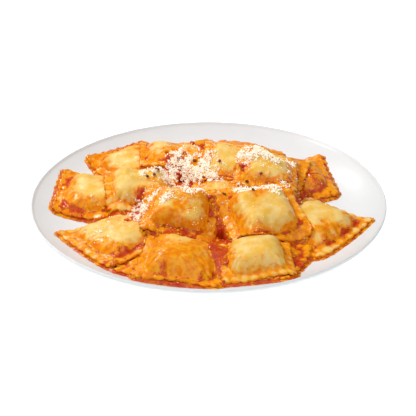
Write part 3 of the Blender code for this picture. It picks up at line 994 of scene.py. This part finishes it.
# %% The strewing tree
def strewing_tree():
    tree = bpy.data.node_groups.new("strewing", "GeometryNodeTree")
    sockets = (
        ("Geometry", "NodeSocketGeometry"),
        ("Shapes", "NodeSocketCollection"),
        ("Number per square metre", "NodeSocketFloat"),
        ("Smallest", "NodeSocketFloat"),
        ("Largest", "NodeSocketFloat"),
        ("Pile height", "NodeSocketFloat"),
        ("Tilt", "NodeSocketFloat"),
        ("Seed", "NodeSocketInt"),
        ("Material", "NodeSocketMaterial"),
    )
    for name, kind in sockets:
        tree.interface.new_socket(name, in_out="INPUT", socket_type=kind)
    tree.interface.new_socket("Geometry", in_out="OUTPUT", socket_type="NodeSocketGeometry")
    given = tree.nodes.new("NodeGroupInput").outputs

    def node(kind, settings=(), **values):
        made = tree.nodes.new(kind)
        for key, value in settings:
            setattr(made, key, value)
        for key, value in values.items():
            feed(tree, made.inputs[key.replace("_", " ")], value)
        return made

    def chance(kind, low, high, seed):
        made = node("FunctionNodeRandomValue", [("data_type", kind)])
        sockets = [s for s in made.inputs if s.enabled]
        for socket, value in zip(sockets, (low, high)):
            feed(tree, socket, value)
        feed(tree, made.inputs["Seed"], seed)
        return next(s for s in made.outputs if s.enabled)

    stored = node("GeometryNodeInputNamedAttribute", [("data_type", "FLOAT")], Name="amount")
    amount = next(s for s in stored.outputs if s.enabled)
    wanted = maths(tree, "MULTIPLY", amount, given["Number per square metre"])
    points = node(
        "GeometryNodeDistributePointsOnFaces",
        Mesh=given["Geometry"],
        Density=wanted,
        Seed=given["Seed"],
    )
    lift = maths(tree, "MULTIPLY", amount, given["Pile height"])
    lift = maths(tree, "MULTIPLY", lift, chance("FLOAT", 0.0, 1.0, 7))
    offset = node("ShaderNodeCombineXYZ", Z=lift)
    piled = node(
        "GeometryNodeSetPosition",
        Geometry=points.outputs["Points"],
        Offset=offset.outputs["Vector"],
    )
    tilt_back = maths(tree, "MULTIPLY", given["Tilt"], -1.0)
    least = node("ShaderNodeCombineXYZ", X=tilt_back, Y=tilt_back).outputs[0]
    most = node("ShaderNodeCombineXYZ", X=given["Tilt"], Y=given["Tilt"], Z=math.tau).outputs[0]
    turn = node("FunctionNodeEulerToRotation", Euler=chance("FLOAT_VECTOR", least, most, 8))
    turned_by = node(
        "FunctionNodeRotateRotation",
        [("rotation_space", "LOCAL")],
        Rotation=points.outputs["Rotation"],
        Rotate_By=turn.outputs[0],
    )
    shapes = node(
        "GeometryNodeCollectionInfo",
        Collection=given["Shapes"],
        Separate_Children=True,
        Reset_Children=True,
    )
    placed = node(
        "GeometryNodeInstanceOnPoints",
        Points=piled.outputs[0],
        Instance=shapes.outputs[0],
        Pick_Instance=True,
        Rotation=turned_by.outputs[0],
        Scale=chance("FLOAT", given["Smallest"], given["Largest"], 9),
    )
    shade = node(
        "GeometryNodeStoreNamedAttribute",
        [("data_type", "FLOAT"), ("domain", "INSTANCE")],
        Geometry=placed.outputs[0],
        Name="shade",
        Value=chance("FLOAT", 0.0, 1.0, 10),
    )
    real = node("GeometryNodeRealizeInstances", Geometry=shade.outputs[0])
    finished = node(
        "GeometryNodeSetMaterial", Geometry=real.outputs[0], Material=given["Material"]
    )
    feed(tree, tree.nodes.new("NodeGroupOutput").inputs[0], finished.outputs[0])
    return tree


strewing = strewing_tree()


def strew(name, bed, shapes, material, number, sizes, pile, tilt, seed):
    """Strews the shapes over a bed and returns the result as one plain piece."""
    modifier = bed.modifiers.new("strewing", "NODES")
    values = {
        "Shapes": shapes,
        "Number per square metre": number,
        "Smallest": sizes[0],
        "Largest": sizes[1],
        "Pile height": pile * MM,
        "Tilt": tilt,
        "Seed": seed,
        "Material": material,
    }
    modifier.node_group = strewing
    for item in strewing.interface.items_tree:
        if item.in_out == "INPUT" and item.name in values:
            modifier[item.identifier] = values[item.name]
    bpy.context.view_layer.update()
    graph = bpy.context.evaluated_depsgraph_get()
    mesh = bpy.data.meshes.new_from_object(bed.evaluated_get(graph))
    bed.modifiers.remove(modifier)
    mesh.name = name
    mesh.shade_flat()
    made = bpy.data.objects.new(name, mesh)
    bpy.context.scene.collection.objects.link(made)
    finish_piece(made, material)
    print(name, "triangles:", sum(len(p.vertices) - 2 for p in mesh.polygons))
    return made


# %% [markdown]
# ## Shreds, crumbs and flakes
# A fine grater makes short curled shreds and, between them, crumbs.  Chilli flakes are thin,
# flat and torn.  Each shape has at most a couple of dozen faces, because there will be
# thousands, and a few versions of each are enough: size and turn hide the repeats.


# %% Small shapes
def shape_store(name, shapes):
    """Keeps mesh shapes in a collection that is not part of the scene."""
    store = bpy.data.collections.new(name)
    for index, (points, faces) in enumerate(shapes):
        mesh = bpy.data.meshes.new(f"{name}_{index}")
        mesh.from_pydata(np.asarray(points) * MM, [], faces)
        store.objects.link(bpy.data.objects.new(mesh.name, mesh))
    return store


def shred(length, width, curl, seed):
    """A curled strip with a three-sided section that narrows to both ends."""
    chance = np.random.default_rng(seed)
    points, rings = [], 5
    for ring in range(rings):
        along = ring / (rings - 1) - 0.5
        wide = width * (1 - (2 * along) ** 2) ** 0.5 + 0.12
        wide *= chance.uniform(0.7, 1.2)
        bend = curl * (4 * along**2 - 0.3)
        sway = chance.uniform(-0.15, 0.15)
        for angle in (90, 210, 330):
            y = wide / 2 * math.cos(math.radians(angle)) + sway
            z = wide / 3 * math.sin(math.radians(angle)) + bend
            points.append((length * along, y, z))
    faces = [(2, 1, 0), (-3 + 3 * rings, -2 + 3 * rings, -1 + 3 * rings)]
    for ring in range(rings - 1):
        for i in range(3):
            a, b = 3 * ring + i, 3 * ring + (i + 1) % 3
            faces.append((a, b, b + 3, a + 3))
    return points, faces


def crumb(width, flatness, seed):
    """A rough lump: a ball of twenty triangles with its corners pushed in and out."""
    chance = np.random.default_rng(seed)
    lump = bmesh.new()
    bmesh.ops.create_icosphere(lump, subdivisions=1, radius=width / 2)
    points = [np.array(v.co) * chance.uniform(0.7, 1.15) * (1, 1, flatness) for v in lump.verts]
    faces = [[v.index for v in face.verts] for face in lump.faces]
    lump.free()
    return points, faces


def flake(width, length, seed):
    """A torn flat chip with seven corners, slightly cupped."""
    chance = np.random.default_rng(seed)
    corners = 7
    points = []
    for side, thick in ((1, 0.18), (-1, 0.18)):
        for i in range(corners):
            angle = math.tau * i / corners
            reach = np.random.default_rng(seed * 31 + i).uniform(0.65, 1.1)
            x, y = length / 2 * reach * math.cos(angle), width / 2 * reach * math.sin(angle)
            points.append((x, y, 0.12 * x * x + side * thick + chance.uniform(-0.05, 0.05)))
        points.append((0.0, 0.0, side * thick + 0.1))
    lower = corners + 1
    faces = []
    for i in range(corners):
        after = (i + 1) % corners
        faces.append((i, after, corners))
        faces.append((lower + after, lower + i, lower + corners))
        faces.append((after, i, lower + i, lower + after))
    return points, faces


shred_sizes = ((3.6, 1.0, 0.5), (2.6, 1.1, 0.25), (4.6, 0.8, 0.9), (2.0, 1.3, 0.1), (3.0, 0.8, 0.7))
shreds = shape_store("shred", [shred(*size, seed) for seed, size in enumerate(shred_sizes)])
crumbs = shape_store("crumb", [crumb(1.0, f, seed) for seed, f in enumerate((0.8, 0.6, 0.9, 0.7))])

# %% [markdown]
# ## Grated cheese
# The cheese fell from above in clumps.  Each clump is a soft spot of density on a bed that
# follows the heap but bridges its narrow hollows, broken up by noise.  Shreds and crumbs are
# strewn over the same bed with different seeds, and pile up highest where they are thickest.
# White cheese scatters light many times inside, which a faint glow of its own stands in for.


# %% Cheese
def cheese_finish():
    material, tree, shader = new_material("grated_cheese", Roughness=0.6, Emission_Strength=0.08)
    shader.inputs["Emission Color"].default_value = (1.0, 0.85, 0.62, 1)
    tone = mixed(tree, attribute(tree, "shade"), (1.0, 0.96, 0.86, 1), (1.0, 0.90, 0.72, 1))
    damp = ramp(tree, noise(tree, object_place(tree), 5, 2), 0.66, 0.88)
    feed(tree, shader.inputs["Base Color"], mixed(tree, damp, tone, (0.92, 0.50, 0.14, 1)))
    return material


grated = cheese_finish()
print("finish:", grated.name)

# %% Where the cheese fell
# Raviolo: clumps of cheese on it, each with its place as for the stains, radius and amount
CHEESE = {
    "top_back": (
        (-0.95, -0.2, 8, 1.1), (-0.95, -0.5, 7, 1.0), (-0.6, -0.9, 5, 0.9),
        (-0.2, -1.0, 4, 0.7), (0.1, -0.2, 3, 0.4), (-0.7, 0.2, 4, 0.5),
    ),
    "top_left": (
        (-0.5, -0.2, 5, 0.7), (-1.0, -0.4, 5, 0.8), (-0.7, 0.4, 4, 0.6), (-0.9, 0.5, 4, 0.7),
        (-0.3, 0.2, 4, 0.5), (-0.8, 0.0, 4, 0.6),
    ),
    "middle_left": (
        (0.0, 0.2, 4, 0.5), (0.2, 0.3, 5, 0.7), (0.5, 0.2, 5, 0.8), (0.75, 0.3, 6, 1.0),
        (1.0, 0.6, 7, 1.1), (-0.1, -0.9, 5, 0.9),
    ),
    "back_middle": ((0.2, -1.0, 6, 1.0),),
    "core_high": ((-1.0, 0.9, 6, 0.9), (-0.5, 0.9, 4, 0.6), (0.5, 0.2, 4, 0.5)),
    "middle": (
        (0.0, 0.7, 5, 0.8), (0.5, 0.6, 4, 1.0), (0.2, 0.4, 4, 0.7), (-0.6, 0.4, 5, 0.5),
        (-0.3, 0.2, 4, 0.6), (-0.4, 0.0, 4, 0.7), (-0.7, 0.8, 4, 0.6), (-0.3, 0.7, 4, 0.5),
        (-0.9, 0.2, 4, 0.7), (-1.0, -0.1, 4, 0.7), (0.2, -0.3, 3, 0.3),
    ),
    "top_right": (
        (-0.75, 0.3, 6, 1.1), (-0.4, 0.35, 6, 1.2), (0.0, 0.3, 6, 1.1), (0.2, 0.1, 5, 0.8),
        (-0.7, 0.0, 4, 0.8), (-0.2, -0.2, 3, 0.4), (0.8, 0.8, 4, 0.8), (0.7, -0.2, 3, 0.4),
    ),
    "middle_right": (
        (-0.2, 1.0, 6, 1.1), (0.1, 0.95, 6, 1.1), (0.3, 0.75, 6, 1.1), (0.5, 0.6, 5, 1.0),
        (0.4, 0.35, 4, 0.7), (0.85, 0.9, 4, 0.7),
    ),
    "left_front": (
        (0.75, 0.4, 5, 0.9), (0.75, 0.1, 4, 0.7), (0.0, 0.25, 4, 0.4), (-0.2, 0.0, 4, 0.35),
        (-0.4, 0.1, 4, 0.35),
    ),
}
clump_spots = [
    (*place_on(name, u, v)[:2], radius, amount)
    for name, places in CHEESE.items()
    for u, v, radius, amount in places
]

bridged = filled(food, 8) - 1.5
surface = np.maximum(softened(np.maximum(bridged, level), 1), food)
print("clumps of cheese:", len(clump_spots))

# %% [markdown]
# ## A bed to strew on
# Strewing needs a surface that carries the amount.  It is cut from the relief, cell by cell,
# only where something falls, and thrown away afterwards.


# %% Strew the cheese
def bed_of(name, amount, least=0.02):
    """A sheet over the heap where something is strewn, with the amount as an attribute."""
    wanted = (amount > least)[:-1, :-1]
    rows, columns = np.nonzero(wanted)
    corner = np.arange(surface.size).reshape(surface.shape)
    quads = np.stack(
        [
            corner[rows, columns],
            corner[rows, columns + 1],
            corner[rows + 1, columns + 1],
            corner[rows + 1, columns],
        ],
        axis=1,
    )
    used, quads = np.unique(quads, return_inverse=True)
    points = np.stack([relief.x.ravel(), relief.y.ravel(), surface.ravel()], axis=1)[used]
    return new_piece(name, points, quads.reshape(-1, 4).tolist(), amount=amount.ravel()[used])


heap_points = np.stack([relief.x, relief.y, surface], axis=-1)
clumps = spots(heap_points, clump_spots)
broken = np.clip(2.2 * cloud(heap_points, 4.5, 41) - 0.5, 0, 1.4)
on_food = surface > relief.plate + 6
dense = np.clip(clumps * broken * 1.5 - 0.12, 0, 1.3) * on_food
bed = bed_of("cheese_bed", dense)
strew("cheese_shreds", bed, shreds, grated, 300000, (0.7, 1.2), 1.3, 0.5, 1)
strew("cheese_crumbs", bed, crumbs, grated, 900000, (0.8, 1.8), 1.6, 1.5, 2)
bpy.data.objects.remove(bed)

# %% [markdown]
# ## Powder
# Round the clumps there is always a thin scatter of the finest crumbs.

# %% Powder and stray crumbs
sprinkled = spots(heap_points, ((0, 5, 50, 1.0), (-60, -35, 30, 0.5), (40, 10, 30, 0.6)))
stray = np.clip(sprinkled * cloud(heap_points, 6, 42) ** 3 * 1.2, 0, 1) * on_food
bed = bed_of("stray_bed", stray)
strew("cheese_powder", bed, crumbs, grated, 220000, (0.5, 1.1), 0.2, 1.5, 3)
bpy.data.objects.remove(bed)

# %% [markdown]
# ## Tomato pulp
# Crushed tomatoes leave soft lumps in the sauce.  They are strewn wherever sauce stands or has
# just run off, and they share the sauce's own finish, so that only their shape tells them
# apart.

# %% Pulp
brimming = np.clip((level - food + 0.5) / 1.0, 0, 1) * (surface > relief.plate + 2.5)
bed = bed_of("pulp_bed", brimming * np.clip(2 * cloud(heap_points, 7, 43) - 0.5, 0, 1))
pulp = strew("tomato_pulp", bed, crumbs, tomato_sauce, 60000, (1.2, 3.2), 0.2, 0.6, 4)
layer = pulp.data.attributes.new("depth", "FLOAT", "POINT")
layer.data.foreach_set("value", np.full(len(pulp.data.vertices), 0.5, dtype=np.float32))
pulp.data.shade_smooth()
bpy.data.objects.remove(bed)

# %% [markdown]
# ## Chilli flakes and bits of tomato
# Only a few of these lie on the heap, so their places are chosen one by one, again from each
# raviolo's middle.  A plain loop drops them there and joins each kind into one mesh.

# %% Where the flakes and the bits lie
FLAKES = {
    "middle_left": ((0.45, 0.35), (0.35, 0.15), (0.15, 0.05)),
    "back_middle": ((0.75, 0.5),),
    "top_left": ((-0.7, -0.2), (-1.0, 0.1), (-0.9, 0.3)),
    "top_back": ((-0.45, -0.35), (-0.9, -0.9)),
    "middle": ((-0.3, 0.6),),
    "middle_right": ((-0.75, 0.85), (-0.1, 0.55)),
    "top_right": ((0.5, -0.8), (-0.6, -0.85), (-0.2, -0.6)),
}
TOMATO_BITS = {
    "top_right": ((-0.85, -0.15), (-0.75, -0.35), (0.75, -0.6)),
    "back_middle": ((0.4, -0.5), (0.2, -0.75)),
    "middle": ((-0.5, -0.85), (0.75, 0.5)),
    "right": ((0.75, 0.3), (0.7, -0.5)),
    "left_front": ((0.3, 0.1),),
}
print("flakes and bits:", [sum(map(len, kind.values())) for kind in (FLAKES, TOMATO_BITS)])


# %% Drop the flakes and the bits
def dropped(places, shapes, seed):
    """Single shapes lying on the ravioli, as (points, faces, shade)."""
    chance = np.random.default_rng(seed)
    pieces = []
    spots_on = [(name, *place) for name, found in places.items() for place in found]
    for index, (name, u, v) in enumerate(spots_on):
        points, faces = shapes[index % len(shapes)]
        turn = Matrix.Rotation(chance.uniform(0, math.tau), 3, "Z")
        tilt = Matrix.Rotation(chance.uniform(0.0, 0.7), 3, "X")
        place = place_on(name, u, v)
        height = max(place[2], float(relief.read(surface, place[None])[0])) + 0.4
        moved = np.array(points) @ np.array(turn @ tilt).T + (place[0], place[1], height)
        pieces.append((moved, faces, chance.random()))
    return pieces


def joined(name, pieces):
    """Several loose shapes as one piece, each with its own shade."""
    points, faces, shades = [], [], []
    for piece_points, piece_faces, shade in pieces:
        faces += [tuple(len(points) + i for i in face) for face in piece_faces]
        points += list(piece_points)
        shades += [shade] * len(piece_points)
    return new_piece(name, points, faces, shade=shades)


def chilli_finish():
    material, tree, shader = new_material("chilli_flake", Roughness=0.45, Specular_IOR_Level=0.1)
    dark = mixed(tree, attribute(tree, "shade"), (0.07, 0.010, 0.008, 1), (0.26, 0.025, 0.012, 1))
    grain = ramp(tree, noise(tree, object_place(tree), 0.8, 2), 0.45, 0.7)
    feed(tree, shader.inputs["Base Color"], mixed(tree, grain, dark, (0.22, 0.05, 0.02, 1)))
    return material


def tomato_finish():
    material, tree, shader = new_material("tomato_bits", Coat_Weight=0.2, Coat_Roughness=0.08)
    red = mixed(tree, attribute(tree, "shade"), (0.50, 0.03, 0.006, 1), (0.70, 0.09, 0.01, 1))
    flesh = ramp(tree, noise(tree, object_place(tree), 1.5, 2), 0.55, 0.75)
    feed(tree, shader.inputs["Base Color"], mixed(tree, flesh, red, (0.80, 0.20, 0.03, 1)))
    return material


flake_sizes = ((3.6, 5.0), (3.0, 4.2), (2.2, 4.8))
flake_shapes = [flake(*size, 60 + i) for i, size in enumerate(flake_sizes)]
bit_shapes = [crumb(width, 0.5, 80 + i) for i, width in enumerate((4.5, 3.4, 2.6))]
finish_piece(joined("chilli_flakes", dropped(FLAKES, flake_shapes, 9)), chilli_finish())
finish_piece(joined("tomato_bits", dropped(TOMATO_BITS, bit_shapes, 10)), tomato_finish())

# %% [markdown]
# ## Studio
# A pale floor and an even white surrounding.  A key light from the left and a little behind
# gives the shadows, a broad one over the diner's head fills them, and a small one at the back
# lights the wet edges.  The camera stands a metre away with a long lens, so that the plate
# keeps its true oval.

# %% Floor, lights and camera
scene = bpy.context.scene
scene.view_settings.view_transform = "Standard"


def make_floor():
    material, tree, shader = new_material("studio_floor", Roughness=0.9)
    shader.inputs["Base Color"].default_value = (0.95, 0.95, 0.95, 1)
    shader.inputs["Emission Color"].default_value = (1, 1, 1, 1)
    shader.inputs["Emission Strength"].default_value = 0.65
    half = 3000
    corners = [(-half, -half, 0), (half, -half, 0), (half, half, 0), (-half, half, 0)]
    floor = new_piece("studio_floor", corners, [(0, 1, 2, 3)])
    floor.data.materials.append(material)


def make_light(name, place, aim, size, power):
    lamp = bpy.data.lights.new(name, "AREA")
    lamp.energy, lamp.size = power, size
    made = bpy.data.objects.new(name, lamp)
    made.location = place
    made.rotation_euler = (Vector(aim) - Vector(place)).to_track_quat("-Z", "Y").to_euler()
    scene.collection.objects.link(made)


def make_camera(elevation, distance, aim, lens, shift):
    lens_data = bpy.data.cameras.new("camera")
    lens_data.lens, lens_data.sensor_width, lens_data.shift_x = lens, 36, shift
    made = bpy.data.objects.new("camera", lens_data)
    angle = math.radians(elevation)
    back = Vector((0, -math.cos(angle), math.sin(angle)))
    made.location = Vector(aim) + back * distance
    made.rotation_euler = (-back).to_track_quat("-Z", "Y").to_euler()
    scene.collection.objects.link(made)
    scene.camera = made


make_floor()
make_light("key", (-0.60, 0.30, 0.85), (0, 0, 0), 0.22, 7.2)
make_light("overhead", (0.15, -0.65, 1.25), (0, 0, 0), 1.6, 13)
make_light("sparkle", (-0.35, 0.85, 0.75), (0, 0, 0), 0.12, 2.5)
world = bpy.data.worlds.new("studio")
world.use_nodes = True
world.node_tree.nodes["Background"].inputs["Color"].default_value = (1, 1, 1, 1)
world.node_tree.nodes["Background"].inputs["Strength"].default_value = 0.22
scene.world = world
make_camera(28.6, 1.0, (0, 0, 0.012), 117.5, -0.0012)

# %% [markdown]
# ## Check the size
# The small shapes kept for strewing are removed at the end, together with their collections.

# %% Remove the stored shapes
for store in (shreds, crumbs):
    for shape in list(store.objects):
        bpy.data.objects.remove(shape)
    bpy.data.collections.remove(store)
